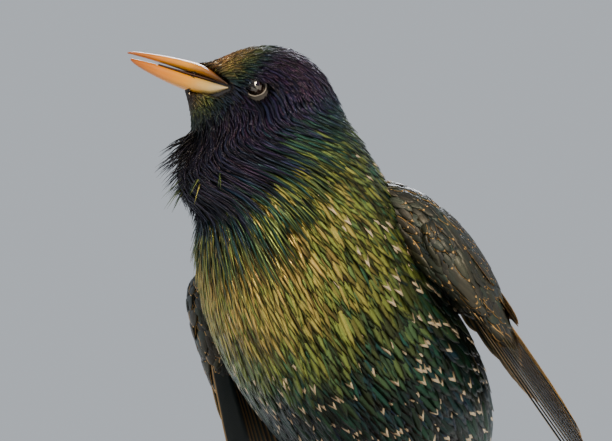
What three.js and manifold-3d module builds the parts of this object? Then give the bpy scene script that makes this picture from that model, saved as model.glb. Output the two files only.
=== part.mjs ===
// Life-size model of a starling singing on a short cut branch, held by a plain display stand.
// Millimetres, +Z up. The bird faces -Y, its left is +X, and the origin is under the base's centre.
import * as THREE from 'three';
import { mergeVertices } from 'three/addons/utils/BufferGeometryUtils.js';
import Module from 'manifold-3d';

const wasm = await Module();
wasm.setup();

// Gap kept between neighbouring pieces, and the size under which a cut's slivers are closed up.
const GAP = 0.3;
const WELD = 0.01;

// Display stand: a round base, one rod, and the cut length of branch that the feet grip.
const BASE_RADIUS = 62;
const BASE_THICKNESS = 14;
const BASE_BEVEL = 2;
const ROD_RADIUS = 3.5;
const PERCH_RADIUS = 8;
const PERCH_LENGTH = 112;
const PERCH_AXIS_Z = 49;
const PERCH_STEPS = 10;

// Body: centre line from the throat to the vent as y, z, half width, half depth.
const BODY_SECTIONS = [
  [-33, 199, 4, 4],
  [-32.5, 195, 9.5, 9.5],
  [-31, 188, 14.5, 15],
  [-31.5, 178, 22, 23],
  [-27, 165, 28, 29],
  [-19, 142, 32, 32],
  [2, 119, 33, 31],
  [23, 100, 32, 29],
  [36, 86, 26, 22.5],
  [42, 74, 16, 13],
  [45, 65, 7, 5.5],
];
const NECK_TOP_Z = 181;
const NECK_BASE = { y: -28, z: 158, tilt: 0.42 };

// Head: turned to the bird's right, its frame set at the level of the eyes.
const EYE_LEVEL = new THREE.Vector3(-5.2, -35.9, 189.8);
const HEAD_TURN = THREE.MathUtils.degToRad(54);
const EYE_RADIUS = 3.2;
const EYE_SIDE = 10.3;
const LID_RADIUS = 0.6;
const LID_SIDE = 1.2;
// Head sections as forward, centre height, half height, half width.
const HEAD_SECTIONS = [
  [-25, -7, 4, 6],
  [-21, -5, 7.5, 11],
  [-16, -2.4, 11.4, 13.2],
  [-8, -0.4, 13.7, 13.6],
  [0, 0, 13.6, 12.2],
  [6, -0.3, 12.2, 10.2],
  [12, -1.2, 10.3, 7.4],
  [16.5, -0.8, 8.9, 5.6],
  [20, 0.2, 5.4, 4.2],
  [23.5, 2.4, 0.8, 1.4],
];
// Bill sections as forward, top, bottom, half width.
const BILL_UPPER = [
  [9, 3.2, 1.6, 6.2],
  [12, 5.4, 2.8, 6.2],
  [15, 7.2, 3.9, 5.2],
  [19, 8.5, 5.3, 3.8],
  [25, 9.9, 7.3, 2.6],
  [31, 10.9, 9.1, 1.8],
  [35.5, 11.5, 10.4, 1.1],
  [37.7, 11.4, 10.9, 0.5],
];
const BILL_LOWER = [
  [9, 0.6, -1.6, 6.2],
  [12, 1.9, -2.1, 6.2],
  [15, 3.0, -1.5, 5.1],
  [19, 4.3, -0.3, 3.7],
  [25, 6.3, 2.0, 2.5],
  [31, 8.0, 5.0, 1.7],
  [35, 9.1, 7.4, 1.0],
  [36.8, 9.6, 8.9, 0.5],
];

// Wings: wrist to tip, drooped and held a little off the body.
const WING_CAMBER = 40;
const WING_LEAD_ANGLE = -0.26;
const WRIST_LEFT = new THREE.Vector3(43, -8.3, 142);
const WRIST_RIGHT = new THREE.Vector3(-42, -21, 128.5);
const WING_DOWN_LEFT = new THREE.Vector3(0.25, 0.6, -0.76).normalize();
const WING_DOWN_RIGHT = new THREE.Vector3(-0.166, 0.561, -0.811).normalize();
const WING_OUT = new THREE.Vector3(0.855, 0.353, 0.395);

// Thickness of a vane at its shaft and its edges, and the sideways tilt that keeps neighbours apart.
const VANE_THICKNESS = 0.55;
const VANE_TILT = 0.3;
// Feather rows of a wing. Each has a count, the first and last root and tip as along and chord,
// the first height over the sheet and its step, and the half width of a vane.
const WING_ROWS = [
  { count: 9, roots: [[4, 3], [15, 12]], tips: [[128, 2.5], [76, 22]], height: [-5.6, 0.3], half: 4.6 },
  { count: 6, roots: [[10, 14], [26, 33]], tips: [[80, 24], [68, 38]], height: [-2.7, 0.3], half: 5.6 },
  { count: 3, roots: [[18, 35], [20, 40]], tips: [[66, 38], [42, 43]], height: [-0.8, 0.7], half: 6 },
  { count: 5, roots: [[6, 3], [12, 10]], tips: [[44, 3.5], [40, 14]], height: [-2.2, 0.2], half: 2.8 },
  { count: 8, roots: [[2, 10], [12, 38]], tips: [[36, 13], [40, 41]], height: [1.2, 0.12], half: 3.6 },
  { count: 7, roots: [[-2, 8], [4, 36]], tips: [[20, 10], [25, 40]], height: [2.5, 0.12], half: 3.6 },
];
const ALULA = { root: [2, 2], tip: [27, 2.5], height: -1.2, half: 2.6 };
// The arm under the coverts as along, leading chord, trailing chord, thickness, and how much
// thicker its inner side grows towards the back, where the shoulder's feathers fill it.
const ARM_ROWS = [
  [-10, 8, 18, 3, 0],
  [-5, 1, 36, 8.5, 7],
  [6, -0.5, 45, 12, 13],
  [20, 0.5, 44, 10.5, 9],
  [30, 2, 40, 5, 3],
  [35, 5, 34, 3.1, 0],
];
const ARM_LIFT = -2.6;
// Primaries past the second shorten faster than an even step: their share of the way to the last.
const PRIMARY_SHARES = [0, 0.04, 0.15, 0.3, 0.46, 0.61, 0.75, 0.88, 1];

// Tail: root, tip, half width at the tip, feathers on each side, and the notch between its halves.
const TAIL_ROOT = new THREE.Vector3(0, 38, 81);
const TAIL_TIP = new THREE.Vector3(0, 66, 22);
const TAIL_HALF_WIDTH = 14;
const TAIL_PAIRS = 6;
const TAIL_COVERTS = 5;

// Hackles on the throat and neck: rows as share of the body's length, angle each way from the
// breast, count, length, and how far the tips stand out.
const HACKLE_ROWS = [
  [0.312, 1.7, 12, 12.5, 6.5],
  [0.352, 1.9, 13, 14, 7.5],
  [0.392, 2.0, 14, 15, 6.5],
  [0.432, 2.0, 14, 16, 5],
  [0.472, 1.5, 11, 17, 3.5],
];
const NAPE_ROWS = [
  [0.328, 1.1, 7, 12, 2.2],
  [0.384, 1.1, 8, 13, 1.8],
];
const HACKLE_HALF_WIDTH = 2.4;
const HACKLE_THICKNESS = 1.0;
// The throat stands out most where the turned head looks: this angle from the breast.
const THROAT_ANGLE = -0.6;

// Legs and feet: each foot stands on top of the perch.
const FOOT_X = 13;
const KNEE = { x: 15, y: 17, z: 82 };
const ANKLE = { x: 13.5, y: 20, z: 71 };
const TARSUS_RADIUS = 1.7;
const TOE_RADIUS = 1.5;
// Toes as length, sideways splay in radians, and 1 for forward or -1 for back.
const TOES = {
  inner: [13, -0.32, 1],
  middle: [19, 0, 1],
  outer: [14, 0.34, 1],
  hind: [13, 0.05, -1],
};
const CLAW_LENGTH = 6.5;

const COLOURS = {
  base: '#3a3634', rod: '#8d8f92', perch: '#6b5848', plumage: '#15151a',
  bill: '#d9992c', eye: '#120c0a', wing: '#241f1c', leg: '#8a4f38', claw: '#2c221d',
};

const group = new THREE.Group();
const X_AXIS = new THREE.Vector3(1, 0, 0);

// A closed mesh's triangles as a solid, turned outwards where they point in.
function solidFromTriangles(points, triangles) {
  let volume = 0;
  for (let i = 0; i < triangles.length; i += 3) {
    const [a, b, c] = [0, 1, 2].map((k) => triangles[i + k] * 3);
    volume += points[a] * (points[b + 1] * points[c + 2] - points[b + 2] * points[c + 1])
      - points[a + 1] * (points[b] * points[c + 2] - points[b + 2] * points[c])
      + points[a + 2] * (points[b] * points[c + 1] - points[b + 1] * points[c]);
  }
  const wound = volume < 0 ? triangles.slice().reverse() : triangles;
  return new wasm.Manifold(new wasm.Mesh({
    numProp: 3, vertProperties: Float32Array.from(points), triVerts: Uint32Array.from(wound),
  }));
}

// A solid skinned over rings of equal count, with a fan at each end.
function solidFromRings(rings) {
  const count = rings[0].length;
  const points = rings.flat().flatMap((p) => [p.x, p.y, p.z]);
  const triangles = [];
  for (let i = 0; i + 1 < rings.length; i += 1) {
    for (let j = 0; j < count; j += 1) {
      const a = i * count + j;
      const b = i * count + (j + 1) % count;
      const quad = j < count / 2
        ? [a, b, b + count, a, b + count, a + count]
        : [a, b, a + count, b, b + count, a + count];
      triangles.push(...quad);
    }
  }
  for (const [ring, start, flip] of [[rings[0], 0, true], [rings.at(-1), (rings.length - 1) * count, false]]) {
    const centre = ring.reduce((sum, p) => sum.add(p), new THREE.Vector3()).divideScalar(count);
    const middle = points.length / 3;
    points.push(centre.x, centre.y, centre.z);
    for (let j = 0; j < count; j += 1) {
      const a = start + j;
      const b = start + (j + 1) % count;
      triangles.push(...(flip ? [b, a, middle] : [a, b, middle]));
    }
  }
  return solidFromTriangles(points, triangles);
}

// A three.js geometry as a solid, placed by a matrix.
function solidFromGeometry(source, matrix = new THREE.Matrix4()) {
  const geometry = source.clone();
  geometry.deleteAttribute('normal');
  geometry.deleteAttribute('uv');
  geometry.applyMatrix4(matrix);
  const merged = mergeVertices(geometry, 1e-4);
  return solidFromTriangles(Array.from(merged.attributes.position.array), Array.from(merged.index.array));
}

// The largest closed body of a solid, as the scene's named mesh.
function addNode(name, solid, colour, roughness, metalness = 0) {
  const bodies = solid.decompose();
  const largest = bodies.reduce((best, body) => (body.volume() > best.volume() ? body : best));
  const mesh = largest.simplify(WELD).getMesh();
  const geometry = new THREE.BufferGeometry();
  geometry.setAttribute('position', new THREE.BufferAttribute(mesh.vertProperties, 3));
  geometry.setIndex(new THREE.BufferAttribute(mesh.triVerts, 1));
  geometry.computeVertexNormals();
  const material = new THREE.MeshStandardMaterial({ color: colour, roughness, metalness });
  const node = new THREE.Mesh(geometry, material);
  node.name = name;
  group.add(node);
}

// Values along a list of rows, smoothed by a spline: t runs from 0 to 1.
function rowSpline(rows) {
  const first = new THREE.CatmullRomCurve3(rows.map((r) => new THREE.Vector3(r[0], r[1], r[2])));
  const last = new THREE.CatmullRomCurve3(rows.map((r) => new THREE.Vector3(r[3], 0, 0)));
  return (t) => {
    const p = first.getPoint(t);
    return [p.x, p.y, p.z, last.getPoint(t).x];
  };
}

// An ellipse of points round a centre, on two half axes.
function ellipse(centre, axisA, axisB, count) {
  return Array.from({ length: count }, (_, j) => {
    const angle = (2 * Math.PI * j) / count;
    return centre.clone().addScaledVector(axisA, Math.cos(angle)).addScaledVector(axisB, Math.sin(angle));
  });
}

const bodyAt = rowSpline(BODY_SECTIONS);
const BODY_LENGTH = BODY_SECTIONS.slice(1).reduce((sum, row, i) => sum
  + Math.hypot(row[0] - BODY_SECTIONS[i][0], row[1] - BODY_SECTIONS[i][1]), 0);

// The body's section at a share of its length from the throat to the vent.
function bodyStation(share) {
  const [y, z, wide, deep] = bodyAt(share);
  const ahead = bodyAt(Math.min(1, share + 0.01));
  const behind = bodyAt(Math.max(0, share - 0.01));
  const along = new THREE.Vector3(0, ahead[0] - behind[0], ahead[1] - behind[1]).normalize();
  const up = new THREE.Vector3().crossVectors(X_AXIS, along).normalize();
  return { centre: new THREE.Vector3(0, y, z), up, wide, deep };
}

// The body's whole flesh from throat to vent, grown outwards by a margin.
function bodySolid(grow) {
  const stations = 16;
  const rings = [];
  for (let i = 0; i <= stations; i += 1) {
    const { centre, up, wide, deep } = bodyStation(i / stations);
    rings.push(ellipse(centre, X_AXIS.clone().multiplyScalar(wide + grow),
      up.multiplyScalar(deep + grow), 24));
  }
  return solidFromRings(rings);
}

const HEAD_FORWARD = new THREE.Vector3(-Math.sin(HEAD_TURN), -Math.cos(HEAD_TURN), 0);
const HEAD_LEFT = new THREE.Vector3(Math.cos(HEAD_TURN), -Math.sin(HEAD_TURN), 0);
const UP = new THREE.Vector3(0, 0, 1);

// A point in the head's own frame: forward, up and to its left of the eyes' level.
function headPoint(forward, up, left = 0) {
  return EYE_LEVEL.clone().addScaledVector(HEAD_FORWARD, forward).addScaledVector(UP, up)
    .addScaledVector(HEAD_LEFT, left);
}

// The head's flesh, an egg that narrows to the feathered chin.
function headSolid(grow) {
  const at = rowSpline(HEAD_SECTIONS);
  const stations = 14;
  const rings = [];
  for (let i = 0; i <= stations; i += 1) {
    const [forward, centre, high, wide] = at(i / stations);
    rings.push(ellipse(headPoint(forward, centre), HEAD_LEFT.clone().multiplyScalar(wide + grow),
      UP.clone().multiplyScalar(high + grow), 20));
  }
  return solidFromRings(rings);
}

// One mandible: rings with a ridge along the top or the keel.
function billSolid(rows, grow) {
  const at = rowSpline(rows);
  const stations = 8;
  const rings = [];
  for (let i = 0; i <= stations; i += 1) {
    const [forward, top, bottom, wide] = at(i / stations);
    rings.push(ellipse(headPoint(forward, (top + bottom) / 2), HEAD_LEFT.clone().multiplyScalar(wide + grow),
      UP.clone().multiplyScalar((top - bottom) / 2 + grow), 12));
  }
  return solidFromRings(rings);
}

// A large block, used to part one node from the next with a thin cut.
function block(width, height, matrix) {
  return solidFromGeometry(new THREE.BoxGeometry(width, width, height), matrix);
}

// A wing's own frame: down the feathers, back from the leading edge, and out from the body.
function wingFrame(side) {
  const down = side > 0 ? WING_DOWN_LEFT : WING_DOWN_RIGHT;
  const out = WING_OUT.clone();
  out.x *= side;
  out.addScaledVector(down, -out.dot(down)).normalize();
  const back = new THREE.Vector3().crossVectors(out, down).multiplyScalar(side).normalize();
  return { wrist: side > 0 ? WRIST_LEFT : WRIST_RIGHT, down, out, back };
}

// A point on a wing's curved sheet: along from the wrist, chord from the leading edge, and height.
function wingPoint(frame, along, chord, height) {
  const angle = WING_LEAD_ANGLE + chord / WING_CAMBER;
  const backward = WING_CAMBER * (Math.sin(angle) - Math.sin(WING_LEAD_ANGLE));
  const outward = WING_CAMBER * (Math.cos(angle) - Math.cos(WING_LEAD_ANGLE));
  return frame.wrist.clone()
    .addScaledVector(frame.down, along)
    .addScaledVector(frame.back, backward + height * Math.sin(angle))
    .addScaledVector(frame.out, outward + height * Math.cos(angle));
}

// The arm's solid on the wing's sheet.
function wingBlade(frame, rows, lift) {
  const rings = rows.map(([along, lead, trail, thick, fill]) => {
    const shares = [0, 0.25, 0.5, 0.75, 1];
    const upper = shares.map((f) => wingPoint(frame, along, lead + (trail - lead) * f, lift + thick / 2));
    const lower = shares.map((f) => wingPoint(frame, along, lead + (trail - lead) * f,
      lift - thick / 2 - fill * f * f)).reverse();
    return [...upper, ...lower];
  });
  return solidFromRings(rings);
}

// A seeded row of draws between 0 and 1.
function seeded(seed) {
  let state = seed;
  return () => {
    state = (state * 1664525 + 1013904223) % 4294967296;
    return state / 4294967296;
  };
}

// One thin vane: a function gives the point at a share of its length and an offset to each side.
function vane(pointAt, half, thickness) {
  const stations = [[0, 0.4], [0.45, 1], [0.86, 0.86], [1, 0.16]];
  const rings = stations.map(([t, width]) => {
    const thick = thickness * (t < 0.9 ? 0.5 : 0.28);
    const offsets = [-half * width, 0, half * width];
    const upper = offsets.map((side) => pointAt(t, side, thick));
    const lower = offsets.map((side) => pointAt(t, side, -thick)).reverse();
    return [...upper, ...lower];
  });
  return solidFromRings(rings);
}

// A wing feather between a root and a tip on the wing's sheet, its leading edge raised.
function wingVane(frame, root, tip, height, half) {
  const pointAt = (t, side, thick) => wingPoint(frame, root[0] + (tip[0] - root[0]) * t,
    root[1] + (tip[1] - root[1]) * t + side, height - side * VANE_TILT + thick);
  return vane(pointAt, half, VANE_THICKNESS);
}

// All feathers of a wing, row by row from the hand's to the shoulder's.
function wingFeathers(frame) {
  let feathers = wingVane(frame, ALULA.root, ALULA.tip, ALULA.height, ALULA.half);
  for (const { count, roots, tips, height, half } of WING_ROWS) {
    for (let i = 0; i < count; i += 1) {
      const share = i / (count - 1);
      const tipShare = count === PRIMARY_SHARES.length ? PRIMARY_SHARES[i] : share;
      const root = roots[0].map((v, k) => v + (roots[1][k] - v) * share);
      const tip = [tips[0][0] + (tips[1][0] - tips[0][0]) * tipShare,
        tips[0][1] + (tips[1][1] - tips[0][1]) * share];
      feathers = feathers.add(wingVane(frame, root, tip, height[0] + height[1] * i, half));
    }
  }
  return feathers;
}

// A point on the body's flesh, at a share of its length, an angle from the breast, and a lift.
function bodyPoint(share, angle, lift) {
  const { centre, up, wide, deep } = bodyStation(share);
  return centre.addScaledVector(X_AXIS, Math.sin(angle) * (wide + lift))
    .addScaledVector(up, -Math.cos(angle) * (deep + lift));
}

// One flat tapered lock that lies down the neck and lifts towards its tip.
function hackle(share, angle, length, lift, draw) {
  const down = length / BODY_LENGTH;
  const sway = (draw() - 0.5) * 0.12;
  const reach = 0.85 + 0.3 * draw();
  const rings = [[0, 0.5, 0.8], [0.4, 1, 1], [0.75, 0.7, 0.8], [1, 0.12, 0.3]].map(([t, width, thick]) => {
    const along = share + down * reach * t * (1 - 0.12 * t * lift / 8);
    const height = -1.6 + 2.4 * Math.min(1, t / 0.3) + lift * t * t;
    const turn = HACKLE_HALF_WIDTH * width / 27;
    const middle = angle + sway * t;
    const deep = HACKLE_THICKNESS * thick / 2;
    return [bodyPoint(along, middle - turn, height), bodyPoint(along, middle, height + deep),
      bodyPoint(along, middle + turn, height), bodyPoint(along, middle, height - deep)];
  });
  return solidFromRings(rings);
}

// The rows of locks round the throat, with shorter ones down the nape.
function hackles() {
  const draw = seeded(7);
  const locks = [];
  HACKLE_ROWS.forEach(([share, spread, count, length, lift], row) => {
    for (let i = 0; i < count; i += 1) {
      const angle = THROAT_ANGLE * 0.5 + spread * (2 * (i + 0.25 + 0.5 * (row % 2)) / count - 1);
      const facing = Math.max(0, Math.cos(angle - THROAT_ANGLE));
      locks.push(hackle(share, angle, length, 1 + lift * facing, draw));
    }
  });
  NAPE_ROWS.forEach(([share, spread, count, length, lift]) => {
    for (let i = 0; i < count; i += 1) {
      const angle = Math.PI + spread * (2 * (i + 0.5) / count - 1);
      locks.push(hackle(share, angle, length, lift, draw));
    }
  });
  return wasm.Manifold.union(locks);
}

// The stand.
const bevelled = new THREE.LatheGeometry([
  [0, 0], [BASE_RADIUS, 0], [BASE_RADIUS, BASE_THICKNESS - BASE_BEVEL],
  [BASE_RADIUS - BASE_BEVEL, BASE_THICKNESS], [0, BASE_THICKNESS],
].map(([r, z]) => new THREE.Vector2(r, z)), 48);
const upright = new THREE.Matrix4().makeRotationX(Math.PI / 2);
addNode('stand_base', solidFromGeometry(bevelled, upright), COLOURS.base, 0.5);

const rodBottom = BASE_THICKNESS + GAP;
const rodTop = PERCH_AXIS_Z - PERCH_RADIUS + 2;
const rodShape = new THREE.CylinderGeometry(ROD_RADIUS, ROD_RADIUS, rodTop - rodBottom, 20);
const rodPlace = new THREE.Matrix4().makeTranslation(0, 0, (rodTop + rodBottom) / 2).multiply(upright);
const rod = solidFromGeometry(rodShape, rodPlace);
addNode('stand_rod', rod, COLOURS.rod, 0.35, 0.9);

const perchRings = [];
for (let i = 0; i <= PERCH_STEPS; i += 1) {
  const x = PERCH_LENGTH * (i / PERCH_STEPS - 0.5);
  const radius = PERCH_RADIUS * (1 - 0.03 + 0.03 * Math.cos(x / 9));
  perchRings.push(ellipse(new THREE.Vector3(x, 0, PERCH_AXIS_Z),
    new THREE.Vector3(0, radius, 0), new THREE.Vector3(0, 0, radius), 14));
}
const socketShape = new THREE.CylinderGeometry(ROD_RADIUS + GAP, ROD_RADIUS + GAP, rodTop + GAP, 20);
const socket = solidFromGeometry(socketShape,
  new THREE.Matrix4().makeTranslation(0, 0, (rodTop + GAP) / 2).multiply(upright));
addNode('stand_perch', solidFromRings(perchRings).subtract(socket), COLOURS.perch, 0.85);

// Bill, eyes, and the flesh parted into head, neck and torso.
const billUpper = billSolid(BILL_UPPER, 0);
const billLower = billSolid(BILL_LOWER, 0).subtract(billSolid(BILL_UPPER, GAP));
const nostrils = [-1, 1].map((side) => solidFromGeometry(new THREE.SphereGeometry(1, 10, 6),
  new THREE.Matrix4().compose(headPoint(17.7, 6.9, side * 2.9),
    new THREE.Quaternion().setFromAxisAngle(UP, HEAD_TURN), new THREE.Vector3(0.7, 1.7, 0.45))));
addNode('bill_upper', billUpper.subtract(nostrils[0]).subtract(nostrils[1]), COLOURS.bill, 0.35);
addNode('bill_lower', billLower, COLOURS.bill, 0.35);

let head = headSolid(0);
let neckAndTorso = bodySolid(0);
const neckCut = block(200, 100, new THREE.Matrix4().makeTranslation(0, 0, NECK_TOP_Z + 50));
const whole = head.add(neckAndTorso);
head = whole.intersect(neckCut);
neckAndTorso = whole.subtract(block(200, 100,
  new THREE.Matrix4().makeTranslation(0, 0, NECK_TOP_Z + 50 - GAP)));
const slant = new THREE.Matrix4().makeTranslation(0, NECK_BASE.y, NECK_BASE.z)
  .multiply(new THREE.Matrix4().makeRotationX(NECK_BASE.tilt));
const aboveNeckBase = block(200, 100, slant.clone().multiply(new THREE.Matrix4().makeTranslation(0, 0, 50)));
const aboveCut = block(200, 100,
  slant.clone().multiply(new THREE.Matrix4().makeTranslation(0, 0, 50 - GAP)));
const bodyClear = bodySolid(GAP);
const torso = neckAndTorso.subtract(aboveCut);
const neckCore = neckAndTorso.intersect(aboveNeckBase);
const freeLocks = hackles().subtract(bodyClear.subtract(aboveNeckBase))
  .subtract(block(200, 100, new THREE.Matrix4().makeTranslation(0, 0, NECK_TOP_Z + 50 - GAP)));
const neck = neckCore.add(freeLocks);

head = head.subtract(billSolid(BILL_UPPER, GAP)).subtract(billSolid(BILL_LOWER, GAP));
for (const side of [1, -1]) {
  const centre = headPoint(0, 0, side * EYE_SIDE);
  const at = new THREE.Matrix4().makeTranslation(centre.x, centre.y, centre.z);
  const eye = solidFromGeometry(new THREE.SphereGeometry(EYE_RADIUS, 14, 10), at);
  const lid = solidFromGeometry(new THREE.TorusGeometry(EYE_RADIUS, LID_RADIUS, 5, 16), new THREE.Matrix4()
    .makeBasis(HEAD_FORWARD, UP, HEAD_LEFT).setPosition(headPoint(0, 0, side * (EYE_SIDE + LID_SIDE))));
  head = head.add(lid).subtract(solidFromGeometry(new THREE.SphereGeometry(EYE_RADIUS + GAP, 14, 10), at));
  addNode(side > 0 ? 'eye_left' : 'eye_right', eye, COLOURS.eye, 0.1);
}
addNode('head', head, COLOURS.plumage, 0.6);
addNode('neck', neck, COLOURS.plumage, 0.6);
addNode('torso', torso, COLOURS.plumage, 0.6);

// Wings: the arm's pad with its flight feathers and coverts.
for (const [side, name] of [[1, 'wing_left'], [-1, 'wing_right']]) {
  const frame = wingFrame(side);
  const pad = wingBlade(frame, ARM_ROWS, ARM_LIFT);
  addNode(name, pad.add(wingFeathers(frame)).subtract(bodyClear), COLOURS.wing, 0.6);
}

// Tail: the rump's end, twelve feathers that lie under one another, and their coverts.
const tailAlong = TAIL_TIP.clone().sub(TAIL_ROOT);
const tailUp = new THREE.Vector3().crossVectors(X_AXIS, tailAlong).normalize();
const tailPoint = (t, across, height) => TAIL_ROOT.clone().addScaledVector(tailAlong, t)
  .addScaledVector(X_AXIS, across).addScaledVector(tailUp, height);
const rumpRings = [[-0.06, 8, 4.5], [0.12, 7.5, 4], [0.3, 6, 2.2], [0.42, 4, 0.8]].map(([t, wide, deep]) => ellipse(
  tailPoint(t, 0, 0), X_AXIS.clone().multiplyScalar(wide), tailUp.clone().multiplyScalar(deep), 16));
let tail = solidFromRings(rumpRings);
for (const side of [1, -1]) {
  for (let i = 0; i < TAIL_PAIRS; i += 1) {
    const share = (i + (side > 0 ? 0.5 : 0.35)) / TAIL_PAIRS;
    const height = 0.9 - 0.42 * (2 * i + (side > 0 ? 0 : 1));
    const reach = 0.965 + 0.035 * share;
    const pointAt = (t, across, thick) => tailPoint(0.02 + (reach - 0.02) * t,
      side * share * (4 + (TAIL_HALF_WIDTH - 8.5) * t) * 1.9 + across, height - side * across * 0.12 + thick);
    tail = tail.add(vane(pointAt, 4.4, VANE_THICKNESS));
  }
}
for (let i = 0; i < TAIL_COVERTS; i += 1) {
  const lean = (i - (TAIL_COVERTS - 1) / 2) * 2.6;
  const pointAt = (t, across, thick) => tailPoint(0.04 + 0.4 * t, lean * (1 + 0.4 * t) + across,
    3.4 - 1.2 * t - Math.abs(lean) * 0.25 + thick);
  tail = tail.add(vane(pointAt, 2.4, VANE_THICKNESS));
}
addNode('tail', tail.subtract(bodyClear), COLOURS.wing, 0.6);

// A round limb through a list of points with a radius at each.
function limb(points, radii, count = 10) {
  const curve = new THREE.CatmullRomCurve3(points);
  const steps = (points.length - 1) * 2;
  const frames = curve.computeFrenetFrames(steps, false);
  const rings = [];
  for (let i = 0; i <= steps; i += 1) {
    const place = (i / steps) * (radii.length - 1);
    const k = Math.min(radii.length - 2, Math.floor(place));
    const radius = radii[k] + (radii[k + 1] - radii[k]) * (place - k);
    rings.push(ellipse(curve.getPoint(i / steps), frames.normals[i].clone().multiplyScalar(radius),
      frames.binormals[i].clone().multiplyScalar(radius), count));
  }
  return solidFromRings(rings);
}

// A point on a toe's path round the perch, at a distance from the foot's middle.
function toePoint(side, splay, facing, distance) {
  const reach = PERCH_RADIUS + GAP + TOE_RADIUS;
  const angle = (distance / reach) * facing;
  return new THREE.Vector3(side * FOOT_X + side * splay * distance,
    -reach * Math.sin(angle), PERCH_AXIS_Z + reach * Math.cos(angle));
}

// A foot's four toes and the joint they meet in, grown outwards by a margin.
function footSolid(side, grow) {
  const heel = TOE_RADIUS + grow;
  const reach = (y) => toePoint(side, 0, 1, 0).add(new THREE.Vector3(0, y, 0));
  let foot = limb([reach(2.2), reach(0), reach(-2.2)], [heel, heel * 1.25, heel]);
  for (const [length, splay, facing] of Object.values(TOES)) {
    const path = [0, 0.33, 0.66, 1].map((f) => toePoint(side, splay, facing, f * length));
    const radii = [1, 1, 0.9, 0.75].map((f) => TOE_RADIUS * f + grow);
    foot = foot.add(limb(path, radii, 7));
  }
  return foot;
}

// Legs: feathered shank, scaled tarsus, gripping toes and curved claws.
for (const [side, word] of [[1, 'left'], [-1, 'right']]) {
  const knee = new THREE.Vector3(side * KNEE.x, KNEE.y, KNEE.z);
  const ankle = new THREE.Vector3(side * ANKLE.x, ANKLE.y, ANKLE.z);
  const sole = toePoint(side, 0, 1, 0);
  const shankTop = new THREE.Vector3(side * (KNEE.x - 2), KNEE.y - 9, KNEE.z + 12);
  const shank = limb([shankTop, knee, ankle.clone().add(new THREE.Vector3(0, 0, 1.6))], [9, 5.5, 2.4]);
  addNode(`leg_${word}`, shank.subtract(bodyClear), COLOURS.plumage, 0.6);
  const middle = ankle.clone().lerp(sole, 0.5);
  const shankClear = limb([shankTop, knee, ankle.clone().add(new THREE.Vector3(0, 0, 1.6))],
    [9 + GAP, 5.5 + GAP, 2.4 + GAP]);
  const tarsus = limb([ankle, middle, sole.clone().add(new THREE.Vector3(0, 1, 1.2))],
    [TARSUS_RADIUS * 1.25, TARSUS_RADIUS, TARSUS_RADIUS]).subtract(shankClear);
  for (const [toe, [length, splay, facing]] of Object.entries(TOES)) {
    const clawPath = [2 * GAP, CLAW_LENGTH / 2, CLAW_LENGTH]
      .map((d) => toePoint(side, splay, facing, length + d));
    addNode(`claw_${word}_${toe}`, limb(clawPath, [1.05, 0.75, 0.2], 6), COLOURS.claw, 0.4);
  }
  const perchClear = perchRings.map((ring) => ring.map((p) => new THREE.Vector3(
    p.x, p.y * (1 + GAP / PERCH_RADIUS), PERCH_AXIS_Z + (p.z - PERCH_AXIS_Z) * (1 + GAP / PERCH_RADIUS))));
  addNode(`foot_${word}`, footSolid(side, 0).subtract(solidFromRings(perchClear)), COLOURS.leg, 0.55);
  addNode(`tarsus_${word}`, tarsus.subtract(footSolid(side, GAP)), COLOURS.leg, 0.55);
}

export default group;
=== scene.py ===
"""A starling singing on a short cut branch, as a life-size museum model on a plain stand."""
import math
import bpy
import numpy as np
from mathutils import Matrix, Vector


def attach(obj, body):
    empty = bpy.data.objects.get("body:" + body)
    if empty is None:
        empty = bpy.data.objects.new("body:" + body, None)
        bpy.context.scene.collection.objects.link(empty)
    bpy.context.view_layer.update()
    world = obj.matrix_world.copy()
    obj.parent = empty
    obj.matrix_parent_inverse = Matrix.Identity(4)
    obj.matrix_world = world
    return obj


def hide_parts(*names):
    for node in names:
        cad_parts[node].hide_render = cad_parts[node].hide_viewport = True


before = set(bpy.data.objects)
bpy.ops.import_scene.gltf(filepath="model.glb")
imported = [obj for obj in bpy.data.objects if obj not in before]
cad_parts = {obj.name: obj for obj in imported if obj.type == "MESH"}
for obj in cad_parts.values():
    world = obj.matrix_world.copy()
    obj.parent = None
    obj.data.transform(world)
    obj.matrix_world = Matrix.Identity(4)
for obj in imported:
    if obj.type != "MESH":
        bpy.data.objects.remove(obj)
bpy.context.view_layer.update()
MM = 0.001

# Camera: a long lens a little below the bird and to the front of its left side,
# set so that the head fills the upper left of the picture and the tail is cut off.
VIEW_AZIMUTH = math.radians(36)
VIEW_RISE = math.radians(-5)
VIEW_DISTANCE = 1.5
VIEW_WIDTH = 0.1827
SENSOR = 36.0
view_back = Vector((math.sin(VIEW_AZIMUTH) * math.cos(VIEW_RISE),
                    -math.cos(VIEW_AZIMUTH) * math.cos(VIEW_RISE), math.sin(VIEW_RISE)))
view_centre = Vector((-0.0085, -0.0062, 0.1537))
camera_data = bpy.data.cameras.new("camera")
camera_data.sensor_width = SENSOR
camera_data.lens = SENSOR * VIEW_DISTANCE / VIEW_WIDTH
camera = bpy.data.objects.new("camera", camera_data)
bpy.context.scene.collection.objects.link(camera)
camera.location = view_centre + view_back * VIEW_DISTANCE
camera.rotation_mode = "QUATERNION"
camera.rotation_quaternion = (-view_back).to_track_quat("-Z", "Y")
camera_data.clip_start = 0.05
camera_data.clip_end = 50
bpy.context.scene.camera = camera


# Studio: a matt pale floor, a pale even surround, and three soft panels of light. The key
# panel stands high on the right of the picture, as warm as low sun.
def linear(hex_colour):
    """An sRGB hex colour as linear numbers: each channel is raised by the sRGB curve."""
    channels = [int(hex_colour[i:i + 2], 16) / 255 for i in (1, 3, 5)]
    return [c / 12.92 if c <= 0.04045 else ((c + 0.055) / 1.055) ** 2.4 for c in channels] + [1.0]


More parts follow.
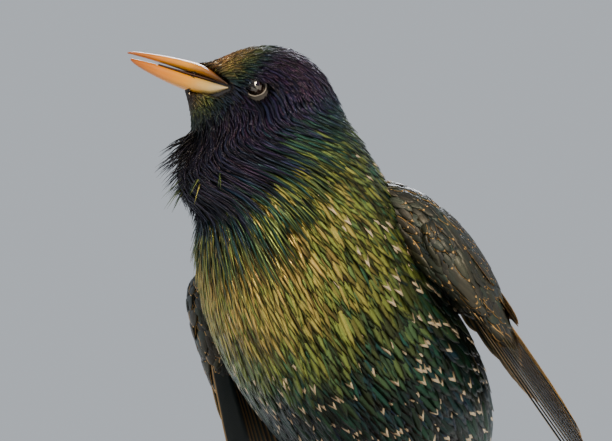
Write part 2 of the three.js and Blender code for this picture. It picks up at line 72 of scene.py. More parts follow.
def add_node(tree, kind, settings=(), links=()):
    """One shader node, with its settings by name, and its links by input name. A link comes from
    a socket, or from the first output of a node."""
    node = tree.nodes.new(kind)
    for name, value in dict(settings).items():
        if hasattr(node, str(name)):
            setattr(node, name, value)
        else:
            node.inputs[name].default_value = value
    for name, source in dict(links).items():
        socket = source.outputs[0] if isinstance(source, bpy.types.Node) else source
        tree.links.new(socket, node.inputs[name])
    return node


def new_material(name, settings):
    """A material with one Principled shader, its constant sockets set here."""
    made = bpy.data.materials.new(name)
    made.use_nodes = True
    made.node_tree.nodes.clear()
    shader = add_node(made.node_tree, "ShaderNodeBsdfPrincipled", settings)
    add_node(made.node_tree, "ShaderNodeOutputMaterial", (), {"Surface": shader.outputs["BSDF"]})
    return made, made.node_tree, shader


def ramp(tree, factor, stops):
    """A colour ramp over a factor: stops are place and sRGB hex."""
    node = add_node(tree, "ShaderNodeValToRGB", (), {"Fac": factor})
    while len(node.color_ramp.elements) < len(stops):
        node.color_ramp.elements.new(0.5)
    for element, (place, colour) in zip(node.color_ramp.elements, stops):
        element.position = place
        element.color = linear(colour)
    return node.outputs["Color"]


FLOOR_SIZE = 20.0
floor_mesh = bpy.data.meshes.new("floor")
h = FLOOR_SIZE / 2
floor_mesh.from_pydata([(-h, -h, 0), (h, -h, 0), (h, h, 0), (-h, h, 0)], [], [(0, 1, 2, 3)])
floor = bpy.data.objects.new("floor", floor_mesh)
bpy.context.scene.collection.objects.link(floor)
floor_paint = new_material("pale_floor", {"Roughness": 0.9, "Base Color": linear("#d9dcdf")})[0]
floor_mesh.materials.append(floor_paint)

world = bpy.data.worlds.new("studio")
bpy.context.scene.world = world
world.use_nodes = True
surround = world.node_tree.nodes["Background"].inputs
surround["Color"].default_value = linear("#dfe6ee")
surround["Strength"].default_value = 0.65


PANEL_TARGET = Vector((0, 0, 0.14))


def light_panel(name, place, size, power, colour):
    """A square panel of light that faces the bird's breast, its side in metres."""
    data = bpy.data.lights.new(name, "AREA")
    data.shape = "SQUARE"
    data.size = size
    data.energy = power
    data.color = linear(colour)[:3]
    panel = bpy.data.objects.new(name, data)
    bpy.context.scene.collection.objects.link(panel)
    panel.location = place
    panel.rotation_mode = "QUATERNION"
    panel.rotation_quaternion = (PANEL_TARGET - Vector(place)).to_track_quat("-Z", "Y")


light_panel("key", (1.0, -0.7, 0.8), 0.3, 40, "#ffe9c8")
light_panel("fill", (-0.8, -0.8, 0.4), 0.7, 7, "#e6eeff")
light_panel("rim", (-0.5, 0.8, 0.8), 0.4, 12, "#f2f6ff")


# Stand: a turned round base of stained beech with a waxed face, and one brushed steel rod
# pushed up into the cut branch. Both keep their solids and take only a finish.
def stretched_noise(tree, scale, settings):
    """Noise over the object's own place in metres, times a scale along each axis."""
    place = add_node(tree, "ShaderNodeTexCoord").outputs["Object"]
    stretched = add_node(tree, "ShaderNodeMapping", {"Scale": scale}, {"Vector": place})
    return add_node(tree, "ShaderNodeTexNoise", {"Scale": 1.0, **settings}, {"Vector": stretched})


def add_bump(tree, shader, height, strength, depth):
    """Relief on a shader: a height from 0 to 1 times a depth in metres, at a strength."""
    relief = add_node(tree, "ShaderNodeBump", {"Strength": strength, "Distance": depth}, {"Height": height})
    tree.links.new(relief.outputs["Normal"], shader.inputs["Normal"])


def dress_node(name, material):
    """A finish on one of the part's own solids, in place of its plain one."""
    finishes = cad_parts[name].data.materials
    finishes.clear()
    finishes.append(material)


# Beech grain, 3 mm between bands, with short dark flecks along it.
base_wood, tree, shader = new_material("stained_beech", {"Roughness": 0.6, "Specular IOR Level": 0.3})
grain = stretched_noise(tree, (40, 330, 330), {"Detail": 6.0, "Distortion": 0.6})
colour = ramp(tree, grain, [(0.3, "#241710"), (0.5, "#3a261a"), (0.72, "#4c3424")])
tree.links.new(colour, shader.inputs["Base Color"])
add_bump(tree, shader, grain, 0.25, 0.0003)
dress_node("stand_base", base_wood)
# Fine scratches run up the rod, which was drawn through a die.
rod_steel, tree, shader = new_material("brushed_steel", {
    "Metallic": 1.0, "Roughness": 0.32, "Base Color": linear("#b9bbbf")})
add_bump(tree, shader, stretched_noise(tree, (9000, 9000, 300), {"Detail": 2.0}), 0.15, 0.0001)
dress_node("stand_rod", rod_steel)


# Perch: a cut length of fruit-tree branch with its bark on, sawn square at both ends. The
# bark has low rings, pores that run round it and a gentle swell along it.
def mesh_from_arrays(name, points, faces, material):
    """A smooth mesh object from arrays of points in metres and of four-cornered faces."""
    mesh = bpy.data.meshes.new(name)
    corners = faces.shape[1]
    mesh.vertices.add(len(points))
    mesh.vertices.foreach_set("co", np.ascontiguousarray(points, dtype=np.float32).ravel())
    mesh.loops.add(faces.size)
    mesh.loops.foreach_set("vertex_index", faces.astype(np.int32).ravel())
    mesh.polygons.add(len(faces))
    mesh.polygons.foreach_set("loop_start", np.arange(0, faces.size, corners, dtype=np.int32))
    mesh.polygons.foreach_set("loop_total", np.full(len(faces), corners, dtype=np.int32))
    mesh.polygons.foreach_set("use_smooth", np.full(len(faces), True))
    mesh.update(calc_edges=True)
    mesh.materials.append(material)
    made = bpy.data.objects.new(name, mesh)
    bpy.context.scene.collection.objects.link(made)
    return made


def ring_faces(rings, count):
    """Quads of a skin over rings of equal count, each ring joined to the next and to itself."""
    i = np.arange(rings - 1)[:, None] * count
    j = np.arange(count)[None, :]
    k = (j + 1) % count
    return np.stack([i + j, i + k, i + count + k, i + count + j], axis=-1).reshape(-1, 4)


def skin_over(name, rings, material, flip=False):
    """A closed skin over an array of rings (ring, corner, xyz) in mm. At each end one more ring
    closes it: middle + (ring - middle) / 1000."""
    middles = rings.mean(axis=1, keepdims=True)
    closing = middles + (rings - middles) / 1000
    rings = np.concatenate([closing[:1], rings, closing[-1:]])
    faces = ring_faces(len(rings), rings.shape[1])
    return mesh_from_arrays(name, rings.reshape(-1, 3) * MM, faces[:, ::-1] if flip else faces, material)


def skin_grid(rings, corners):
    """Share along the rings from 0 to 1 and turn round them, as two arrays of one shape."""
    return np.meshgrid(np.linspace(0, 1, rings), np.linspace(0, 2 * np.pi, corners, endpoint=False),
                       indexing="ij")


def spline(rows, place):
    """Catmull-Rom curve through rows, read at places from 0 to 1; past 1 it runs on straight."""
    rows = np.asarray(rows, dtype=float)
    inside = np.clip(place, 0, 1)
    scaled = inside * (len(rows) - 1)
    i = np.minimum(scaled.astype(int), len(rows) - 2)
    f = (scaled - i)[..., None]
    p0, p1 = rows[np.maximum(i - 1, 0)], rows[i]
    p2, p3 = rows[i + 1], rows[np.minimum(i + 2, len(rows) - 1)]
    curve = 0.5 * (2 * p1 + (p2 - p0) * f + (2 * p0 - 5 * p1 + 4 * p2 - p3) * f ** 2
                   + (3 * p1 - p0 - 3 * p2 + p3) * f ** 3)
    beyond = (np.asarray(place) - inside)[..., None] * (len(rows) - 1)
    return curve + beyond * 0.5 * (rows[-1] - rows[-2])


PERCH_RADIUS = 8.0
PERCH_LENGTH = 112.0
PERCH_AXIS_Z = 49.0
BARK_MEAN, SWELL, SWELL_LENGTH = 0.955, 0.02, 9.0
RING_HEIGHT, RING_CLOSENESS, RING_WAVER = 0.12, 1.9, 2.0
FURROW_HEIGHT, FURROWS, FURROW_TWIST = 0.1, 5, 0.15
bark, tree, shader = new_material("plum_bark", {"Roughness": 0.82})
pores = stretched_noise(tree, (420, 130, 130), {"Detail": 8.0, "Roughness": 0.65})
colour = ramp(tree, pores, [(0.28, "#2a211c"), (0.47, "#55463c"), (0.62, "#75655a"), (0.78, "#9a8c80")])
tree.links.new(colour, shader.inputs["Base Color"])
add_bump(tree, shader, pores, 0.8, 0.0006)
share, turn = skin_grid(120, 56)
x = (share - 0.5) * PERCH_LENGTH
radius = PERCH_RADIUS * (BARK_MEAN + SWELL * np.cos(x / SWELL_LENGTH))
radius += RING_HEIGHT * np.sin(x * RING_CLOSENESS + RING_WAVER * np.sin(turn))
radius += FURROW_HEIGHT * np.sin(FURROWS * turn + x * FURROW_TWIST)
perch_rings = np.stack([x, radius * np.cos(turn), PERCH_AXIS_Z + radius * np.sin(turn)], axis=-1)
perch = skin_over("perch_bark", perch_rings, bark)
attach(perch, "root")
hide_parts("stand_perch")

# Flesh: one skin from the bill's root to the vent, in dark grey-black. It lies under the
# coat, and the coat's feathers are rooted in it.
EYE_LEVEL = np.array([-5.2, -35.9, 189.8])
HEAD_TURN = math.radians(54)
HEAD_FORWARD = np.array([-math.sin(HEAD_TURN), -math.cos(HEAD_TURN), 0])
HEAD_LEFT = np.array([math.cos(HEAD_TURN), -math.sin(HEAD_TURN), 0])
UP = np.array([0.0, 0.0, 1.0])
COAT_DEPTH = 1.3


def head_point(forward, up, left=0.0):
    """A point in the head's frame, in mm from the level of the eyes."""
    forward, up, left = (np.asarray(v, dtype=float)[..., None] for v in (forward, up, left))
    return EYE_LEVEL + forward * HEAD_FORWARD + up * UP + left * HEAD_LEFT


# Stations of the head: the profile's upper and lower point as forward and up, and half width.
HEAD_STATIONS = [
    [18.8, 7.0, 20.2, 2.0, 1.2],
    [16.4, 7.2, 19.6, -0.8, 2.8],
    [12.4, 7.7, 18.6, -4.2, 4.4],
    [7, 9.8, 18.0, -7.6, 6.2],
    [1, 11.6, 17.6, -11, 8.4],
    [-6, 11.6, 17.6, -14.6, 10.8],
    [-12.5, 9.4, 17.8, -18.6, 12.9],
    [-18.5, 3.8, 18.4, -23.4, 15.2],
    [-23, -4.5, 19.0, -29, 18.2],
]
# Stations of the body: upper and lower point of the outline as y and z, half width, and the
# share of the head's turn that the neck still has there.
BODY_STATIONS = [
    [-10, 177, -51, 151.5, 23.6, 0.5],
    [0, 166.5, -49.5, 137, 28, 0.18],
    [10, 154, -43.5, 120, 31.2, 0.04],
    [22, 141, -28.5, 101.5, 33, 0],
    [36, 127.5, -11, 88, 33.2, 0],
    [47, 114, 4.5, 79, 31, 0],
    [52, 99, 19.5, 72.8, 26, 0],
    [51.5, 82, 31, 67, 15.5, 0],
    [49.5, 68, 41, 63, 7, 0],
]
stations = []
for f0, u0, f1, u1, wide in HEAD_STATIONS:
    stations.append([*head_point(f0, u0), *head_point(f1, u1), wide, HEAD_TURN])
for y0, z0, y1, z1, wide, turned in BODY_STATIONS:
    yaw = HEAD_TURN * turned
    swing = np.array([-math.sin(yaw), -math.cos(yaw)])
    middle = (y0 + y1) / 2
    back_xy, front_xy = (np.array([0, middle]) + swing * (middle - y) for y in (y0, y1))
    stations.append([*back_xy, z0, *front_xy, z1, wide, yaw])
stations = np.array(stations)


def raw_skin(share, turn):
    """A point of the outline: an ellipse between the upper and lower profile at a share of the
    way from bill to vent, at a turn from the crown (0) by the left side to the throat (pi)."""
    row = spline(stations, share)
    upper, lower, wide, yaw = row[..., 0:3], row[..., 3:6], row[..., 6:7], row[..., 7:8]
    across = np.concatenate([np.cos(yaw), -np.sin(yaw), 0 * yaw], axis=-1)
    c, s = np.cos(turn)[..., None], np.sin(turn)[..., None]
    return (upper + lower) / 2 + c * (upper - lower) / 2 + s * wide * across


def unit(vectors):
    """Each vector over its own length."""
    return vectors / (np.linalg.norm(vectors, axis=-1, keepdims=True) + 1e-9)


def surface_frame(surface, share, turn):
    """Point and outward normal of a surface of share and turn, with its speed in mm along each:
    central differences, and the cross product of the two directions."""
    step = 1e-3
    along = surface(share + step, turn) - surface(share - step, turn)
    across = surface(share, turn + step) - surface(share, turn - step)
    speed, sweep = (np.linalg.norm(way, axis=-1) / (2 * step) for way in (along, across))
    return surface(share, turn), unit(np.cross(across, along)), speed, sweep


def inner_skin(share, turn):
    """The flesh: the outline less the coat's depth along the normal."""
    point, normal, _, _ = surface_frame(raw_skin, share, turn)
    return point - normal * COAT_DEPTH


def flesh_over(name, surface, rings, corners):
    """A skin of flesh over a surface of share and turn."""
    made = skin_over(name, surface(*skin_grid(rings, corners)), flesh)
    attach(made, "root")
    return made


flesh = new_material("dark_skin", {"Roughness": 0.7, "Base Color": linear("#0d0c0f")})[0]
skin = flesh_over("skin", inner_skin, 150, 96)
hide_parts("head", "neck", "torso")


# Coat: the contour feathers, each a thin arched vane rooted in the skin and lying back over
# the next. They are small on the face, long and narrow on the throat, broad on the belly.
VANE_UV_SIZE = 0.003


def vane_piece(name, ring, over, way, roots, marks, material, flip):
    """Closed vanes as one mesh from rings (vane, row, corner, xyz) in mm. One UV map runs over
    each vane, another lays it small at its root's place, and a colour holds its marks: the
    painted sheen's strength and hue, and the buff."""
    vanes, rows, corners = ring.shape[:3]
    ends = []
    for start in (0, (rows - 1) * corners):
        for k in range(corners // 2 - 1):
            quad = [start + k, start + k + 1, start + corners - 2 - k, start + corners - 1 - k]
            ends.append(quad if start else quad[::-1])
    one = np.concatenate([ring_faces(rows, corners), np.array(ends)])
    if flip:
        one = one[:, ::-1]
    faces = (one[None] + (np.arange(vanes) * rows * corners)[:, None, None]).reshape(-1, 4)
    made = mesh_from_arrays(name, ring.reshape(-1, 3) * MM, faces, material)
    loops = faces.ravel()
    vane_uv = np.stack([np.tile(over, vanes * rows), np.repeat(np.tile(way, vanes), corners)], axis=-1)
    vane_uv = vane_uv[loops]
    root_uv = np.repeat(roots, rows * corners, axis=0)[loops] + (vane_uv - 0.5) * VANE_UV_SIZE
    layers = made.data.uv_layers
    for layer, uv in (("Feather", vane_uv), ("OFBake", root_uv)):
        layers.new(name=layer).data.foreach_set("uv", uv.astype(np.float32).ravel())
    layers.active = layers["Feather"]
    marks = np.repeat(np.stack(np.broadcast_arrays(*marks, 1.0), axis=-1), rows * corners, axis=0)
    colour = made.data.color_attributes.new("mark", "FLOAT_COLOR", "POINT")
    colour.data.foreach_set("color", marks.astype(np.float32).ravel())
    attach(made, "root")
    return made


def soft_vanes(name, points, normal, wide, thick, roots, marks, material, broad=False):
    """Soft vanes. Each has a shaft of points (vane, row, xyz), and at each row a ring of corners
    set off by the width along normal x shaft, and up and down by the thickness."""
    across = np.array([-1, -0.5, 0, 0.5, 1, 0] if broad else [-1, 0, 1, 0])
    above = np.array([-0.9, 0.35, 1, 0.35, -0.9, -0.7] if broad else [-0.3, 1, -0.3, -1])
    shaft = unit(np.gradient(points, axis=1))
    side = unit(np.cross(normal, shaft))
    ring = (points[:, :, None, :] + side[:, :, None, :] * (wide[:, :, None] * across)[..., None]
            + np.cross(shaft, side)[:, :, None, :] * (thick[:, :, None] * above)[..., None])
    return vane_piece(name, ring, across * 0.5 + 0.5, np.linspace(0, 1, points.shape[1]), roots, marks,
                      material, True)


# Steps of the additive recurrence: the plastic number's inverse, and its square.
SPREAD_STEPS = (0.7548776662466927, 0.5698402909980532)


def spread_places(count, weight, low, high, seed):
    """Evenly spread places over share and turn, as dense as a weight function of both: an
    additive recurrence in the unit square is put through the weight's running sums."""
    cells = 240
    shares, turns = (np.linspace(low[k], high[k], cells + 1) for k in (0, 1))
    middles = [(edges[1:] + edges[:-1]) / 2 for edges in (shares, turns)]
    grid = weight(*np.meshgrid(*middles, indexing="ij"))
    rows = np.concatenate([[0], np.cumsum(grid.sum(axis=1))])
    rows /= rows[-1]
    columns = np.concatenate([np.zeros((cells, 1)), np.cumsum(grid, axis=1)], axis=1)
    columns /= columns[:, -1:]
    n = np.arange(count) + seed
    q1, q2 = (n * SPREAD_STEPS[0]) % 1, (n * SPREAD_STEPS[1]) % 1
    i = np.clip(np.searchsorted(rows, q1, side="right") - 1, 0, cells - 1)
    f = (q1 - rows[i]) / (rows[i + 1] - rows[i])
    stacked = (columns + 2 * np.arange(cells)[:, None]).ravel()
    j = np.searchsorted(stacked, q2 + 2 * i, side="right") - 1 - i * (cells + 1)
    j = np.clip(j, 0, cells - 1)
    g = (q2 - columns[i, j]) / (columns[i, j + 1] - columns[i, j] + 1e-12)
    return np.interp(i + f, range(cells + 1), shares), np.interp(j + g, range(cells + 1), turns)


# Size of the contour feathers by share of the way from bill to vent: length and half width on
# the back and on the breast side, how far tips lift on each, all in mm.
SIZE_ROWS = [
    # share, back length, back half width, front length, front half width, back lift, front lift
    [0.00, 1.6, 0.30, 1.7, 0.30, 0.15, 0.15],
    [0.08, 2.4, 0.40, 2.8, 0.36, 0.25, 0.3],
    [0.18, 4.6, 0.52, 5.0, 0.42, 0.5, 0.6],
    [0.27, 7.0, 0.62, 9.0, 0.45, 0.8, 2.0],
    [0.36, 9.0, 0.75, 12.5, 0.50, 1.0, 3.5],
    [0.44, 10.5, 1.0, 15.0, 0.60, 1.1, 2.5],
    [0.52, 12.0, 1.5, 16.0, 0.70, 0.9, 1.4],
    [0.62, 13.0, 2.3, 15.0, 0.95, 0.8, 0.7],
    [0.75, 14.0, 3.0, 14.0, 1.3, 0.7, 0.5],
    [0.90, 15.0, 3.3, 14.0, 1.8, 0.6, 0.5],
    [1.00, 15.0, 3.1, 13.0, 2.0, 0.5, 0.5],
]


def front_share(turn):
    """How far round a place is from the back (0) to the throat and belly (1)."""
    return 0.5 - 0.5 * np.cos(turn)


def blended(table, pairs, share, front):
    """Values read from a table at a share, blended from the back's to the front's column."""
    read = [np.interp(share, np.array(table)[:, 0], column) for column in np.array(table).T]
    return [read[back] + (read[fore] - read[back]) * front for back, fore in pairs]


def feather_size(share, turn):
    """Length, half width and lift of the body feather rooted at a place."""
    return blended(SIZE_ROWS, ((1, 3), (2, 4), (5, 6)), share, front_share(turn) ** 1.2)


# Painted sheen by share, in the base colour: strength and hue on the back and on the front. Hues run
# from purple (0) by blue and green to bronze (1): bronze crown, black throat, purple nape, gold-green
# breast.
SHEEN_ROWS = [
    [0.00, 0.05, 0.95, 0.04, 0.95],
    [0.08, 0.10, 0.90, 0.05, 0.92],
    [0.14, 0.55, 0.93, 0.10, 0.55],
    [0.20, 0.12, 0.80, 0.05, 0.45],
    [0.28, 0.16, 0.04, 0.05, 0.12],
    [0.38, 0.20, 0.12, 0.07, 0.20],
    [0.45, 0.26, 0.50, 0.40, 0.70],
    [0.53, 0.28, 0.54, 0.80, 0.80],
    [0.62, 0.26, 0.50, 0.55, 0.72],
    [0.72, 0.26, 0.48, 0.20, 0.42],
    [1.00, 0.28, 0.50, 0.12, 0.25],
]

# The least and the added strength of a feather's painted sheen, and how far its hue strays.
SHEEN_LEAST, SHEEN_ADDED, HUE_STRAYS = 0.2, 2.1, 0.24


def body_sheen(share, turn, draw):
    """Strength and hue of a body feather's painted sheen, strayed from the table by two draws."""
    strength, hue = blended(SHEEN_ROWS, ((1, 3), (2, 4)), share, front_share(turn))
    return (np.clip(strength * (SHEEN_LEAST + SHEEN_ADDED * draw[0] ** 2), 0, 1),
            np.clip(hue + HUE_STRAYS * (draw[1] - 0.5), 0, 1))


def maths(tree, operation, *terms):
    """A maths node over terms, each a number, a socket or a node."""
    numbers = {k: term for k, term in enumerate(terms) if isinstance(term, float)}
    links = {k: term for k, term in enumerate(terms) if k not in numbers}
    return add_node(tree, "ShaderNodeMath", {"operation": operation, **numbers}, links)


def mapped(tree, value, low, high, first=0.0, last=1.0, kind="SMOOTHSTEP"):
    """A value put from the range low to high into the range first to last."""
    return add_node(tree, "ShaderNodeMapRange", {
        "From Min": low, "From Max": high, "To Min": first, "To Max": last, "interpolation_type": kind},
        {"Value": value})


def feather_inputs(tree):
    """Distance from a feather's middle, way to its tip, and its marks: painted sheen strength and hue, and
    buff.
    """
    over = add_node(tree, "ShaderNodeUVMap", {"uv_map": "Feather"})
    split = add_node(tree, "ShaderNodeSeparateXYZ", (), {"Vector": over})
    mark = add_node(tree, "ShaderNodeVertexColor", {"layer_name": "mark"})
    marks = add_node(tree, "ShaderNodeSeparateColor", (), {"Color": mark})
    off_middle = maths(tree, "ABSOLUTE", maths(tree, "SUBTRACT", split.outputs["X"], 0.5))
    return off_middle, split.outputs["Y"], *(marks.outputs[name] for name in ("Red", "Green", "Blue"))


# The sheen hues are painted into the base colour: with metallic 0.6 they tint the real reflections, and the
# rest is a painted sheen that shows whatever the light.
plumage, tree, shader = new_material("glossy_black_plumage", {
    "Metallic": 0.6, "Roughness": 0.3, "Specular IOR Level": 0.5})
off_middle, way_out, strength, hue, buff = feather_inputs(tree)
sheen = ramp(tree, hue, [
    (0.0, "#6b3a6e"), (0.18, "#453474"), (0.36, "#1f4466"), (0.52, "#24644c"), (0.7, "#8c9a42"),
    (0.84, "#c4aa58"), (1.0, "#9c6c3c")])
# Barbs slant out from the shaft: 14 on each side in the drawing, coarser than the real ones.
barb_place = maths(tree, "MULTIPLY", maths(tree, "SUBTRACT", way_out, off_middle), 88.0)
barbs = maths(tree, "SINE", barb_place)
# The barbs break the painted sheen into streaks.
shine = mapped(tree, barbs, -1.0, 1.0, 0.35, 1.0, "LINEAR")
# The painted sheen fades towards each vane's edges, which are left black, so that every feather stands out
# from the next.
dulled = maths(tree, "MULTIPLY", shine, mapped(tree, off_middle, 0.2, 0.5, 1.0, 0.15))
dressed = add_node(tree, "ShaderNodeMix", {"data_type": "RGBA", 6: linear("#060607")}, {
    0: maths(tree, "MULTIPLY", dulled, strength), 7: sheen})
# The buff tip: a small spot at the end of the vane.
tip = mapped(tree, maths(tree, "MULTIPLY_ADD", off_middle, 0.35, way_out), 0.88, 0.93)
painted = add_node(tree, "ShaderNodeMix", {"data_type": "RGBA", 7: linear("#dcc6a0")}, {
    0: maths(tree, "MULTIPLY", tip, buff), 6: dressed.outputs[2]})
tree.links.new(painted.outputs[2], shader.inputs["Base Color"])
add_bump(tree, shader, barbs, 0.35, 0.0001)


def atlas_place(atlas, x, y):
    """Places from 0 to 1 put into a corner and an extent of the baked picture."""
    return np.array(atlas[0]) + np.array(atlas[1]) * np.stack([x, y], axis=-1)


# How feathers differ: the least and the spread of their length and width, their sway
# sideways, and the spread of their height in mm.
LENGTH_DRAW, WIDTH_DRAW, SWAY_DRAW, LAYER_DRAW = (0.82, 0.36), (0.85, 0.3), 0.35, 0.5
# A shaft starts under the surface, in mm, and rises out of it over the first part of its way.
ROOT_HEIGHT, ROOT_RISE, ROOT_WAY = -1.25, 1.6, 0.3
WIDTH_PROFILE = ([0, 0.15, 0.45, 0.75, 0.92, 1], [0.35, 0.7, 1, 0.85, 0.45, 0.08])
THICKNESS_PROFILE = ([0, 0.6, 1], [1, 0.8, 0.15])
BUFF_TIP = 0.95


def lay_feathers(name, surface, count, low, high, seed, rows, broad, size, tips, sheen, atlas, material,
                 bare=None):
    """One piece of coat over a surface between two corners of share and turn. Each shaft
    follows the surface backwards from its root and lifts by the square of the way out."""
    def weight(share, turn):
        _, _, speed, sweep = surface_frame(surface, share, turn)
        long, half, _ = size(share, turn)
        return speed * sweep / (long * half)

    share, turn = spread_places(count, weight, low, high, seed)
    if bare is not None:
        kept = ~bare(surface(share, turn))
        share, turn = share[kept], turn[kept]
        count = len(share)
    length, half, lift = size(share, turn)
    draws = np.random.default_rng(seed).random((6, count))
    length = length * (LENGTH_DRAW[0] + LENGTH_DRAW[1] * draws[0])
    half = half * (WIDTH_DRAW[0] + WIDTH_DRAW[1] * draws[1])
    _, _, speed, sweep = surface_frame(surface, share, turn)
    way = np.linspace(0, 1, rows)[None, :]
    out_share = share[:, None] + (length / speed)[:, None] * way
    sway = ((draws[2] - 0.5) * SWAY_DRAW)[:, None]
    out_turn = turn[:, None] + sway * (length / sweep)[:, None] * way
    height = ROOT_HEIGHT + ROOT_RISE * np.minimum(way / ROOT_WAY, 1) + LAYER_DRAW * draws[4][:, None]
    height = height + (lift * (0.5 + draws[3]))[:, None] * way ** 2
    points, normal, _, _ = surface_frame(surface, out_share, out_turn)
    points = points + normal * height[..., None]
    wide = half[:, None] * np.interp(way, *WIDTH_PROFILE)
    thick = (0.1 + 0.12 * half)[:, None] * np.interp(way, *THICKNESS_PROFILE)
    spots = np.where(draws[5] < tips(share, turn), BUFF_TIP, 0.0)
    roots = atlas_place(atlas, np.clip(share, 0, 1), turn / (2 * np.pi) % 1)
    marks = (*sheen(share, turn, draws[3:5]), spots)
    coat = soft_vanes(name, points, normal, wide, thick, roots, marks, material, broad)


def few_tips(share, turn):
    """Share of feathers with a pale tip: very few on the head and breast, more on the belly."""
    belly = np.interp(share, [0, 0.12, 0.2, 0.62, 0.76, 1], [0.06, 0.02, 0.0, 0.0, 0.26, 0.40])
    back = np.interp(share, [0, 0.1, 0.2, 0.45, 0.6, 1], [0.05, 0.06, 0.0, 0.0, 0.14, 0.35])
    return back + (belly - back) * front_share(turn)


def bare_places(point):
    """Where no feather is rooted: a ring round each eye with the way in to it from the front,
    and the wedge of the gape."""
    from_eye = point - EYE_LEVEL
    forward, left, up = from_eye @ HEAD_FORWARD, from_eye @ HEAD_LEFT, from_eye @ UP
    eye = (forward / 3.9) ** 2 + (up / 3.8) ** 2 < 1
    eye |= ((forward - 2.8) / 4.2) ** 2 + ((up - 0.5) / 2.8) ** 2 < 1
    eye &= np.abs(left) > 5
    gape = (forward > 7.6) & (up < 1.2 + (forward - 7.6) * 0.8)
    gape &= up > np.where(forward < 12.5, -0.6 - (forward - 7.6) * 0.42, -2.6 + (forward - 12.5) * 0.34)
    return eye | (gape & (np.abs(left) > 1.5))


full = 2 * np.pi
half_turn = math.pi
BODY_ATLAS = ((0.02, 0.02), (0.55, 0.94))
# Each piece's name, count, first and last share, first and last turn, seed, rows along a vane.
for name, count, start, end, first, last, seed, rows in (
        ("coat_face", 4500, 0.004, 0.12, 0, full, 11, 5),
        ("coat_cheek_left", 3400, 0.12, 0.27, 0, half_turn, 13, 5),
        ("coat_cheek_right", 3400, 0.12, 0.27, half_turn, full, 17, 5),
        ("coat_neck_left", 3200, 0.27, 0.45, 0, half_turn, 23, 7),
        ("coat_neck_right", 3200, 0.27, 0.45, half_turn, full, 29, 7),
        ("coat_breast_left", 2700, 0.45, 0.62, 0, half_turn, 37, 7),
        ("coat_breast_right", 2700, 0.45, 0.62, half_turn, full, 39, 7),
        ("coat_belly", 3600, 0.62, 1.0, half_turn / 2, half_turn * 1.5, 41, 7),
        ("coat_back", 1500, 0.62, 1.0, -half_turn / 2, half_turn / 2, 43, 7)):
    lay_feathers(name, raw_skin, count, (start, first), (end, last), seed, rows, name == "coat_back",
                 feather_size, few_tips, body_sheen, BODY_ATLAS, plumage, bare_places)

# Throat hackles: the long pointed feathers that a singing male stands out from its throat.
# They leave the skin almost upright and bend back under their own weight.
HACKLE_COUNT = 430
HACKLE_SHARES = (0.215, 0.45)
HACKLE_SPREAD = 1.35
HACKLE_LENGTH = 8.0
HACKLE_SAG = 0.22
HACKLE_PROFILE = [0.5, 0.9, 1, 0.95, 0.75, 0.42, 0.06]
draws = np.random.default_rng(71).random((6, HACKLE_COUNT))
share = HACKLE_SHARES[0] + (HACKLE_SHARES[1] - HACKLE_SHARES[0]) * draws[0]
turn = half_turn + HACKLE_SPREAD * (draws[1] + draws[2] - 1)
facing = np.cos((turn - half_turn) * 0.9) ** 2
length = HACKLE_LENGTH * (1 + np.interp(share, [0.21, 0.3, 0.45], [0, 1, 0.7])) * (0.65 + 0.45 * draws[3])
stand = np.interp(share, [0.21, 0.27, 0.36, 0.45], [0.6, 1.0, 0.9, 0.4]) * facing * (0.55 + 0.6 * draws[4])
stray = 0.5 * (draws[5] - 0.5) + 0.25 * np.sin(turn - half_turn)
root, normal, _, _ = surface_frame(raw_skin, share, turn)
ahead = unit(raw_skin(share + 1e-3, turn) - root)
aside = np.cross(normal, ahead)
# Off the skin, back along it and to the side, each as a share of the hackle's length.
way = np.linspace(0, 1, len(HACKLE_PROFILE))
stand = stand[:, None]
rise = length[:, None] * stand * (way - HACKLE_SAG * way ** 2) - 0.6
run = length[:, None] * (1 - 0.55 * stand) * (0.75 * way + 0.25 * way ** 2)
fan = length[:, None] * stray[:, None] * way
points = (root[:, None] + normal[:, None] * rise[..., None] + ahead[:, None] * run[..., None]
          - aside[:, None] * fan[..., None])
wide = (0.33 + 0.14 * draws[3])[:, None] * np.array(HACKLE_PROFILE)
hackles = soft_vanes("throat_hackles", points, normal[:, None], wide, 0.35 * wide,
                     atlas_place(BODY_ATLAS, share, turn / full % 1),
                     (*body_sheen(share, turn, draws[3:5]), 0.0), plumage)

# Eyes: dark brown globes of glass with a wet front, which keep their solids. Each is set in
# a thin ring of bare grey lid that stands just clear of the coat.
SIDES = ((1, "left"), (-1, "right"))
EYE_SIDE = 10.3
LID_RADIUS, LID_TUBE, LID_OUT = 3.05, 0.22, 1.2
LID_LONG, LID_LOW = 1.04, 0.97
LID_RINGS, LID_CORNERS = 48, 10
eye_wet = new_material("wet_dark_eye", {"Roughness": 0.06, "Coat Weight": 1.0, "Coat Roughness": 0.02,
                                        "IOR": 1.38, "Base Color": linear("#140c08")})[0]
lid_skin = new_material("bare_grey_lid", {"Roughness": 0.5, "Base Color": linear("#6e6a66")})[0]
for side, word in SIDES:
    dress_node("eye_" + word, eye_wet)
    around = np.linspace(0, full, LID_RINGS, endpoint=False)[:, None]
    tube = np.linspace(0, full, LID_CORNERS, endpoint=False)[None, :]
    reach = LID_RADIUS + LID_TUBE * np.cos(tube)
    ring = head_point(reach * np.cos(around) * LID_LONG, reach * np.sin(around) * LID_LOW,
                      side * (EYE_SIDE + LID_OUT + LID_TUBE * np.sin(tube)) + 0 * around)
    faces = ring_faces(LID_RINGS + 1, LID_CORNERS) % (LID_RINGS * LID_CORNERS)
    lid = mesh_from_arrays("lid_" + word, ring.reshape(-1, 3) * MM, faces if side < 0 else faces[:, ::-1],
                           lid_skin)
    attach(lid, "root")


